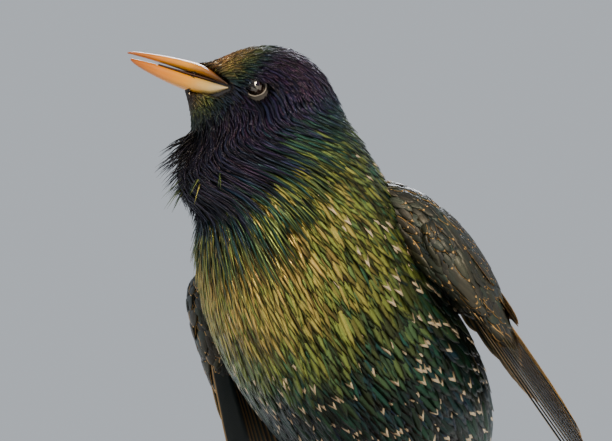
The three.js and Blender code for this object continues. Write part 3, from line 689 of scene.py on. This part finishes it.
# Bill: two slender mandibles of horn, golden yellow with an orange tip and a pale root,
# slightly parted, with a slit nostril on each side.
def bill_horn(name, root_colour, middle_colour):
    """Bill horn whose colour runs from the feathers to the tip along the head's own axis."""
    horn, tree, shader = new_material(name, {"Roughness": 0.36, "Subsurface Weight": 0.04,
                                             "Subsurface Scale": 0.002})
    place = add_node(tree, "ShaderNodeTexCoord").outputs["Object"]
    forward_of = add_node(tree, "ShaderNodeVectorMath", {
        "operation": "DOT_PRODUCT", 1: tuple(HEAD_FORWARD)}, {0: place}).outputs["Value"]
    eyes = float(EYE_LEVEL @ HEAD_FORWARD) * MM
    reach = mapped(tree, forward_of, eyes + HORN_START * MM, eyes + HORN_END * MM, kind="LINEAR")
    cloud = stretched_noise(tree, (420, 420, 420), {"Detail": 4.0})
    wander = maths(tree, "MULTIPLY_ADD", cloud, 0.16, -0.08)
    colour = ramp(tree, maths(tree, "ADD", reach, wander), [
        (0.0, root_colour), (0.16, middle_colour), (0.36, "#b87a00"), (0.65, "#ac6400"), (1.0, "#803c00")])
    tree.links.new(colour, shader.inputs["Base Color"])
    return horn


# The colours run over these places, in mm ahead of the eyes.
HORN_START, HORN_END = 10.0, 38.0
# Stations of each mandible: forward, top, bottom and half width, in the head's frame.
BILL_UPPER = [
    [8.0, 1.5, 0.3, 8.2], [10.5, 3.6, 1.6, 8.0], [13, 5.7, 2.7, 7.0], [15.5, 7.3, 3.8, 5.8],
    [19, 8.5, 5.1, 4.1], [25, 9.9, 7.2, 2.7], [31, 10.9, 9.1, 1.85], [35.5, 11.45, 10.4, 1.1],
    [37.7, 11.35, 10.9, 0.4],
]
BILL_LOWER = [
    [8.0, 0.4, -0.6, 8.2], [10.5, 1.5, -1.8, 8.0], [13, 2.4, -2.4, 7.0], [15.5, 3.3, -1.8, 5.8],
    [19, 4.5, -0.6, 4.1], [25, 6.5, 1.9, 2.7], [31, 8.2, 4.9, 1.8], [35, 9.2, 7.3, 1.05],
    [36.8, 9.6, 8.9, 0.4],
]
# The power that a section's height is raised to: above 1 the ridge is sharper than round.
UPPER_RIDGE, LOWER_RIDGE, BILL_SIDES = 1.2, 0.85, 0.85
upper_horn = bill_horn("orange_upper_bill_horn", "#3a281c", "#7a4a10")
lower_horn = bill_horn("yellow_lower_bill_horn", "#9a8c6c", "#a88c4c")
for node, rows, ridge, horn in (("bill_upper", BILL_UPPER, UPPER_RIDGE, upper_horn),
                                ("bill_lower", BILL_LOWER, LOWER_RIDGE, lower_horn)):
    share, turn = skin_grid(90, 48)
    forward, top, bottom, wide = np.moveaxis(spline(rows, share), -1, 0)
    c, s = np.cos(turn), np.sin(turn)
    off_middle = np.sign(c) * np.abs(c) ** ridge * (top - bottom) / 2
    ring = head_point(forward, (top + bottom) / 2 + off_middle,
                      np.sign(s) * np.abs(s) ** BILL_SIDES * wide)
    bill = skin_over(node + "_horn", ring, horn, flip=True)
    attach(bill, "root")
    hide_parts(node)

# Nostrils: narrow dark slits that run along the upper mandible's sides near the feathers, each a
# raised lens of painted shade for the shaded opening, and the dark mouth lining that shows between the
# mandibles.
NOSTRIL = (17.4, 6.75, 3.72)
NOSTRIL_RUN = (2.1, 0.55, -0.28)
NOSTRIL_SWELL = 0.42
MOUTH = (7.6, 0.9)
MOUTH_RUN = (21, 6.6)
MOUTH_HEIGHT, MOUTH_WIDTH, MOUTH_NARROWS = 0.75, 6.9, 5.3
mouth_and_nostril_shade = new_material("dark_mouth_lining_and_nostril_shade", {"Roughness": 0.5, "Base Color": linear("#2a120c")})[0]
# Each nostril is painted shade: a dark lens in place of the shaded opening.
for side, word in SIDES:
    share, turn = skin_grid(16, 20)
    way = 0.98 * (2 * share - 1)
    swell = NOSTRIL_SWELL * np.sqrt(1 - way ** 2)
    forward, up, left = (at + run * way for at, run in zip(NOSTRIL, NOSTRIL_RUN))
    ring = head_point(forward, up + swell * np.cos(turn), side * (left + swell * np.sin(turn)))
    nostril = skin_over("nostril_" + word, ring, mouth_and_nostril_shade, flip=side > 0)
    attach(nostril, "root")
way, turn = skin_grid(24, 24)
ring = head_point(MOUTH[0] + MOUTH_RUN[0] * way,
                  MOUTH[1] + MOUTH_RUN[1] * way + MOUTH_HEIGHT * np.cos(turn) * (1 - 0.5 * way),
                  (MOUTH_WIDTH - MOUTH_NARROWS * way ** 0.8) * np.sin(turn))
lining = skin_over("mouth_lining", ring, mouth_and_nostril_shade, flip=True)
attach(lining, "root")

# Wings: half open and let down, as in song. Each has an arm under small coverts, then rows of
# stiff vanes on one curved sheet: coverts over the roots of tertials, secondaries and primaries.
WING_CAMBER = 40.0
WING_LEAD_ANGLE = -0.26
WRISTS = {1: (43.0, -8.3, 142.0), -1: (-42.0, -21.0, 128.5)}
WING_DOWN = {1: (0.25, 0.6, -0.76), -1: (-0.166, 0.561, -0.811)}
WING_OUT = (0.855, 0.353, 0.395)
VANE_TILT = 0.3
# Rows of flight feathers and coverts: count, first and last root and tip as along and chord,
# height of the first and step, half width, share of buff on the edges. The last is the alula.
WING_ROWS = [
    (10, (4, 3), (15, 12), (128, 2.5), (76, 22), (-5.6, 0.27), 4.6, 0.6),
    (9, (10, 14), (26, 33), (80, 24), (68, 38), (-2.7, 0.19), 5.4, 0.9),
    (3, (18, 35), (20, 40), (66, 38), (42, 43), (-0.8, 0.7), 6.0, 0.8),
    (8, (6, 3), (12, 10), (44, 3.5), (40, 14), (-2.2, 0.13), 2.9, 0.5),
    (10, (2, 10), (12, 38), (36, 13), (40, 41), (1.2, 0.1), 3.6, 0.8),
    (9, (-2, 8), (4, 36), (20, 10), (25, 40), (2.5, 0.1), 3.6, 0.8),
    (2, (2, 2), (3, 4), (27, 2.5), (23, 5), (-1.2, 0.5), 2.6, 0.5),
]
# How far up the wing the primaries' tips step, from the outermost: close at the point.
PRIMARY_STEPS = [0, 0.04, 0.15, 0.3, 0.46, 0.61, 0.75, 0.88, 1]
# The arm as along, leading chord, trailing chord, thickness, and how much thicker its inner
# side grows towards the back, where the shoulder's feathers fill it.
ARM_ROWS = [[-10.5, 9, 17, 1.5, 0], [-5, 1, 36, 8.5, 7], [6, -0.5, 45, 12, 13], [20, 0.5, 44, 10.5, 9],
            [30, 2, 40, 5, 3], [36, 5, 34, 1.6, 0]]
ARM_LIFT = -2.6
ARM_EDGE = 0.7


def wing_axes(side):
    """A wing's wrist and its unit directions: down the feathers, back and out."""
    down, out = unit(np.array(WING_DOWN[side])), np.array(WING_OUT) * (side, 1, 1)
    out = unit(out - down * (out @ down))
    return np.array(WRISTS[side]), down, out, np.cross(out, down) * side


def wing_point(axes, along, chord, height):
    """A point on the wing's sheet, which bends round the body by the chord over the camber."""
    wrist, down, out, back = axes
    along, chord, height = np.broadcast_arrays(along, chord, height)
    angle = (WING_LEAD_ANGLE + chord / WING_CAMBER)[..., None]
    along, height = along[..., None], height[..., None]
    backward = WING_CAMBER * (np.sin(angle) - math.sin(WING_LEAD_ANGLE)) + height * np.sin(angle)
    outward = WING_CAMBER * (np.cos(angle) - math.cos(WING_LEAD_ANGLE)) + height * np.cos(angle)
    return wrist + down * along + back * backward + out * outward


VANE_WAY = np.array([0, 0.05, 0.16, 0.3, 0.45, 0.6, 0.72, 0.82, 0.9, 0.95, 0.985, 1.0])
VANE_PROFILE = np.array([0.3, 0.45, 0.72, 0.9, 0.98, 1, 1, 0.95, 0.8, 0.58, 0.3, 0.06])
VANE_HEIGHTS = np.array([0, 0.45, 0.55, 1, 0.55, 0.4, 0, -0.45, -0.75, -0.4])
VANE_DRAWN = np.array([0, 0.25, 0.44, 0.5, 0.56, 0.75, 1, 0.75, 0.5, 0.1])
SHAFT_HALF_WIDTH, VANE_THICKNESS, VANE_BOW = 0.07, 0.26, 0.6


def stiff_vanes(name, point_at, root, tip, height, half, buff, sheen, atlas, flip, shaft=-0.35):
    """Stiff vanes on a sheet, given by point_at(along, side, offset, height), with a raised shaft
    that lies nearer the leading edge. Each section has seven corners above and three below."""
    across = np.array([-1, (shaft - 1) / 2, shaft - SHAFT_HALF_WIDTH, shaft, shaft + SHAFT_HALF_WIDTH,
                       0.3, 1, 0.4, shaft, -0.8])
    bow = np.sin(np.pi * VANE_WAY)[None, :, None] * VANE_BOW
    middle = root[:, None, None, :] + (tip - root)[:, None, None, :] * VANE_WAY[None, :, None, None]
    offset = half * VANE_PROFILE[None, :, None] * across
    thick = VANE_THICKNESS * np.interp(VANE_WAY, [0, 0.8, 1], [1, 0.7, 0.25])[None, :, None] * VANE_HEIGHTS
    ring = point_at(middle[..., 0], middle[..., 1] + bow, offset, height[:, None, None] + thick)
    count = len(height)
    draws = np.random.default_rng(count + int(abs(root[0, 0]) * 7)).random(count)
    number = np.arange(count) / max(count, 2)
    made = vane_piece(name, ring, VANE_DRAWN, VANE_WAY, atlas_place(atlas, number, 0.5 + 0 * number),
                      (0.3 + 0.5 * draws, sheen + 0.12 * (draws - 0.5), buff), flight, flip)
    return made


# The sheen hues are painted into the base colour by strength: with metallic 0.3 they tint the real
# reflections, and the rest is a painted sheen that shows whatever the light.
flight, tree, shader = new_material("brown_flight_feather", {"Roughness": 0.42, "Metallic": 0.3})
off_middle, way_out, strength, hue, buff = feather_inputs(tree)
sheen = ramp(tree, hue, [
    (0.0, "#35284a"), (0.35, "#1d2a3a"), (0.6, "#22382c"), (0.8, "#3a3420"), (1.0, "#4a3a24")])
base = add_node(tree, "ShaderNodeMix", {"data_type": "RGBA", 6: linear("#120e0b")}, {0: strength, 7: sheen})
# The buff edge runs along both sides and round the tip.
edge = maths(tree, "MAXIMUM", mapped(tree, off_middle, 0.42, 0.49), mapped(tree, way_out, 0.93, 0.98))
painted = add_node(tree, "ShaderNodeMix", {"data_type": "RGBA", 7: linear("#bd965a")}, {
    0: maths(tree, "MULTIPLY", edge, buff), 6: base.outputs[2]})
tree.links.new(painted.outputs[2], shader.inputs["Base Color"])
# Barbs lie close, 83 to a vane, and slant less than on the body.
barb_place = maths(tree, "MULTIPLY", maths(tree, "MULTIPLY_ADD", off_middle, -0.35, way_out), 520.0)
add_bump(tree, shader, maths(tree, "SINE", barb_place), 0.2, 0.0001)


def small_size(first, gain, slim, lift):
    """A rule for small feathers: length = first + gain * share, half width = slim * length, and
    one lift for all."""
    def size(share, turn):
        length = first + gain * np.clip(share, 0, 1) + 0 * turn
        return length, length * slim, lift + 0 * length
    return size


def tipped(above, below):
    """A rule for the share of feathers with a buff tip, above and below."""
    def tips(share, turn):
        return np.where(np.sin(turn) > 0, above, below) + 0 * share
    return tips


def green_sheen(share, turn, draw):
    """Strength and hue of the painted sheen on the wing's and shank's small feathers: green to bronze."""
    return 0.15 + 0.4 * draw[0] ** 2, 0.45 + 0.3 * draw[1]


for side, word in SIDES:
    axes = wing_axes(side)

    def arm_surface(share, turn, axes=axes, side=side):
        """The arm's skin: a flat rounded section at each share of the way down from the wrist."""
        row = spline(ARM_ROWS, share)
        c, s = np.cos(turn * side), np.sin(turn * side)
        across = np.sign(c) * np.abs(c) ** ARM_EDGE
        chord = (row[..., 1] + row[..., 2]) / 2 + (row[..., 2] - row[..., 1]) / 2 * across
        fill = np.where(s < 0, row[..., 4] * (0.5 + across / 2) ** 2, 0)
        return wing_point(axes, row[..., 0], chord, ARM_LIFT + (row[..., 3] / 2 + fill) * s)

    arm = flesh_over("arm_" + word, arm_surface, 40, 48)
    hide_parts("wing_" + word)
    lay_feathers("arm_coverts_" + word, arm_surface, 900, (0.0, 0), (0.93, full), 5, 6, True,
                 small_size(5.5, 4.5, 0.24, 0.35), tipped(0.75, 0.15), green_sheen,
                 ((0.60, 0.1 + 0.2 * side), (0.36, 0.15)), flight)

    def sheet(along, chord, offset, height, axes=axes):
        """Wing sheet with the leading side of each vane raised by the tilt."""
        return wing_point(axes, along, chord + offset, height - offset * VANE_TILT)

    for k, (count, r0, r1, t0, t1, rise, half, buff) in enumerate(WING_ROWS):
        share = np.linspace(0, 1, count)
        step = share
        if k == 0:
            step = np.interp(share, np.linspace(0, 1, len(PRIMARY_STEPS)), PRIMARY_STEPS)
        root = np.array(r0) + (np.array(r1) - r0) * share[:, None]
        tip = np.array(t0) + (np.array(t1) - t0) * np.stack([step, share], axis=-1)
        height = rise[0] + rise[1] * np.arange(count)
        stiff_vanes(f"wing_{word}_row_{k}", sheet, root, tip, height, half, buff, 0.45 + 0.08 * k,
                    ((0.60 + 0.05 * k, 0.6 + 0.2 * (side > 0)), (0.04, 0.1)), side < 0)

# Shoulders: the scapular feathers heap up over each wing's root and close the step between the
# back and the wing. The heap is a tapered mound from the neck's side to the wrist.
# Rows of each side's mound: x, y, z and radius.
SHOULDER_ROWS = {
    1: [[10, -14, 161, 3.0], [19, -9, 157.5, 6.5], [27, -5, 152.5, 8.0], [34, -3, 146, 7.5],
        [41, 0, 137, 5.5], [46, 5, 127, 2.5]],
    -1: [[-8, -14, 157, 3.0], [-16, -10, 151, 6.0], [-24, -8, 144, 7.5], [-30, -9, 136, 7.0],
         [-35, -11, 127, 5.0], [-39, -9, 117, 2.5]],
}
for side, word in SIDES:
    rows = np.array(SHOULDER_ROWS[side], dtype=float)
    course = rows[-1, :3] - rows[0, :3]
    level = unit(np.cross(course, UP))
    above = unit(np.cross(level, course))

    def shoulder_surface(share, turn, rows=rows, level=level, above=above):
        """The mound: rounds of the spline's radius, square to the mound's whole course."""
        row = spline(rows, share)
        c, s = np.cos(turn)[..., None], np.sin(turn)[..., None]
        return row[..., :3] + row[..., 3:4] * (s * above - c * level)

    flesh_over("shoulder_" + word, shoulder_surface, 32, 40)
    lay_feathers("shoulder_coat_" + word, shoulder_surface, 620, (0.0, 0), (0.97, full), 19, 6, True,
                 small_size(8.0, 3.5, 0.17, 0.4), tipped(0.5, 0.5), green_sheen,
                 ((0.60, 0.02 + 0.03 * (side > 0)), (0.36, 0.02)), flight)

# Tail: twelve stiff feathers fanned a little and stacked from the middle pair outwards, with
# coverts over and under their roots.
TAIL_ROOT = np.array([0, 38.0, 81.0])
TAIL_TIP = np.array([0, 66.0, 22.0])
TAIL_PAIRS = 6
TAIL_ROOT_SPREAD, TAIL_TIP_SPREAD, TAIL_TIP_START, TAIL_TIP_STEP = 7.6, 18.0, 0.965, 0.035
TAIL_TOP, TAIL_STEP, TAIL_HALF_WIDTH, TAIL_TILT, TAIL_DROOP = 0.9, 0.42, 4.4, 0.12, 0.05
# Rows of tail coverts: count, root and tip as shares of the tail, height and half width.
TAIL_COVERTS = [(5, 0.0, 0.42, 3.4, 2.6), (4, -0.02, 0.3, 4.2, 2.8),
                (5, 0.0, 0.45, -4.8, 2.8), (4, -0.02, 0.3, -5.6, 3.0)]
COVERT_GAP, COVERT_STEP = 1.9, 0.25
X_AXIS = np.array([1.0, 0, 0])
tail_along = TAIL_TIP - TAIL_ROOT
tail_up = unit(np.cross(X_AXIS, tail_along))


def tail_point(along, lean, across, height):
    """A point on the tail: along it as a share, its own lean sideways, and height off it."""
    along, lean, across, height = np.broadcast_arrays(along, lean, across, height)
    return (TAIL_ROOT + tail_along * along[..., None] + X_AXIS * (lean + across)[..., None]
            + tail_up * (height - np.abs(lean) * TAIL_DROOP)[..., None])


for side, word in SIDES:
    atlas = ((0.6, 0.35 + 0.1 * side), (0.3, 0.1))
    number = np.arange(TAIL_PAIRS)
    share = (number + (0.5 if side > 0 else 0.35)) / TAIL_PAIRS
    height = TAIL_TOP - TAIL_STEP * (2 * number + (0 if side > 0 else 1))
    root = np.stack([0.02 + 0 * share, side * share * TAIL_ROOT_SPREAD], axis=-1)
    tip = np.stack([TAIL_TIP_START + TAIL_TIP_STEP * share, side * share * TAIL_TIP_SPREAD], axis=-1)

    def fan(along, lean, offset, height, side=side):
        """Tail sheet with the inner side of each vane raised."""
        return tail_point(along, lean, side * offset, height - offset * TAIL_TILT)

    vanes = stiff_vanes("tail_" + word, fan, root, tip, height, TAIL_HALF_WIDTH, 0.5, 0.5, atlas, side > 0,
                        shaft=0.2)
    if side > 0:
        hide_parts("tail")
    for k, (count, first, last, lift, half) in enumerate(TAIL_COVERTS):
        number = np.arange(count)
        lean = side * (number + 0.3) * COVERT_GAP
        root = np.stack([first + 0 * lean, lean * 0.8], axis=-1)
        tip = np.stack([last - 0.02 * number, lean * 1.2], axis=-1)
        stiff_vanes(f"tail_coverts_{word}_{k}", fan, root, tip, lift - COVERT_STEP * number, half, 0.8, 0.6,
                    atlas, side > 0, shaft=0.0)


# Legs: a feathered shank, a bare shin ringed with broad scutes, and four toes that grip the
# branch, three forward and one back, each with a hooked claw.
def limb(name, path, radii, material, rings_count, sides, scutes=0):
    """A round limb through points with a radius at each. Scutes are rings whose radius grows
    along each one and steps back at its end."""
    way = np.linspace(0, 1, rings_count)
    middle = spline(path, way)
    radius = spline(np.array(radii, dtype=float)[:, None], way)[..., 0]
    if scutes:
        radius = radius * (1 + SCUTE_STEP * ((way * scutes) % 1 - 0.5))
    forward = unit(np.gradient(middle, axis=0))
    out = unit(np.cross(X_AXIS, forward))
    across = np.cross(forward, out)
    turn = np.linspace(0, full, sides, endpoint=False)[None, :, None]
    round_ = np.cos(turn) * across[:, None] + np.sin(turn) * out[:, None]
    made = skin_over(name, middle[:, None] + radius[:, None, None] * round_, material)
    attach(made, "root")
    return made


SCUTE_STEP = 0.06
SHIN_SCUTES, TOE_SCUTE_LENGTH = 8, 1.6
FOOT_X = 13.0
# The shank's rows, from the belly by the knee to the ankle: x, y, z and radius.
SHANK_ROWS = [[13.0, 8.0, 94.0, 8.6], [15.0, 17.0, 82.0, 5.0], [13.5, 20.0, 72.6, 1.9]]
ANKLE = (13.5, 20.0, 71.0)
TARSUS_RADIUS = 1.7
TARSUS_RADII = [1.15, 1.25, 1.0, 1.1]
TOE_RADIUS = 1.5
TOE_RADII = [1.05, 0.95, 0.98, 0.85, 0.72]
TOE_CLEARANCE = 0.3
# Each toe's length, its splay, and whether it points forward (1) or back (-1).
TOES = {"inner": (13, -0.32, 1), "middle": (19, 0, 1), "outer": (14, 0.34, 1), "hind": (13, 0.05, -1)}
CLAW_LENGTH = 6.5
CLAW_RADII = [1.05, 0.95, 0.75, 0.48, 0.12]
HEEL_PATH = [[0, 2.4, 0], [0, 1.2, 0.2], [0, 0, 0.2], [0, -1.2, 0.1], [0, -2.4, 0]]
HEEL_RADII = [1.3, 1.9, 2.0, 1.9, 1.3]
SHANK_SLOPE = np.array([0, 0.8, 0.6])
scaled_skin, tree, shader = new_material("scaled_leg_skin", {"Roughness": 0.48})
mottle = stretched_noise(tree, (900, 900, 900), {"Detail": 4.0})
colour = ramp(tree, mottle, [(0.3, "#5e3527"), (0.55, "#8a5340"), (0.75, "#a26a52")])
tree.links.new(colour, shader.inputs["Base Color"])
claw_horn = new_material("dark_claw_horn", {"Roughness": 0.32, "Base Color": linear("#2b201b")})[0]


def toe_point(side, splay, facing, distance):
    """A point of a toe's path: it leaves the foot's middle and wraps the branch."""
    reach = PERCH_RADIUS + TOE_CLEARANCE + TOE_RADIUS
    angle = distance / reach * facing
    return np.stack([side * FOOT_X + side * splay * distance, -reach * np.sin(angle),
                     PERCH_AXIS_Z + reach * np.cos(angle)], axis=-1)


for side, word in SIDES:
    def shank_surface(share, turn, rows=np.array(SHANK_ROWS) * (side, 1, 1, 1)):
        """The shank's skin: rounds that lie level with the shank's own slope."""
        row = spline(rows, share)
        c, s = np.cos(turn)[..., None], np.sin(turn)[..., None]
        return row[..., 0:3] - c * row[..., 3:4] * X_AXIS + s * row[..., 3:4] * SHANK_SLOPE

    shank = flesh_over("shank_" + word, shank_surface, 24, 32)
    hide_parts("leg_" + word)
    lay_feathers("shank_coat_" + word, shank_surface, 700, (0.0, 0), (0.96, full), 3, 5, False,
                 small_size(7.5, -3.5, 0.17, 0.5), tipped(0.12, 0.12), green_sheen,
                 ((0.60, 0.40 + 0.1 * side), (0.3, 0.05)), plumage)
    ankle = np.array(ANKLE) * (side, 1, 1)
    sole = toe_point(side, 0.0, 1, np.float64(0.0))
    shin = limb("shin_" + word, [ankle + (0, 0.3, 1.5), ankle, (ankle + sole) / 2, sole + (0, 1, 1.2)],
                TARSUS_RADIUS * np.array(TARSUS_RADII), scaled_skin, 90, 20, SHIN_SCUTES)
    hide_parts("tarsus_" + word)
    for toe, (length, splay, facing) in TOES.items():
        path = toe_point(side, splay, facing, np.linspace(0, length, 5))
        made = limb(f"toe_{word}_{toe}", path, TOE_RADIUS * np.array(TOE_RADII), scaled_skin, 72, 16,
                    max(6, int(length / TOE_SCUTE_LENGTH)))
        if toe == "inner":
            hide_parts("foot_" + word)
        path = toe_point(side, splay, facing, length + np.linspace(-0.6, CLAW_LENGTH, 5))
        claw = limb(f"claw_{word}_{toe}_horn", path, CLAW_RADII, claw_horn, 24, 12)
        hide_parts(f"claw_{word}_{toe}")
    heel = limb("heel_" + word, sole + np.array(HEEL_PATH), HEEL_RADII, scaled_skin, 24, 16)
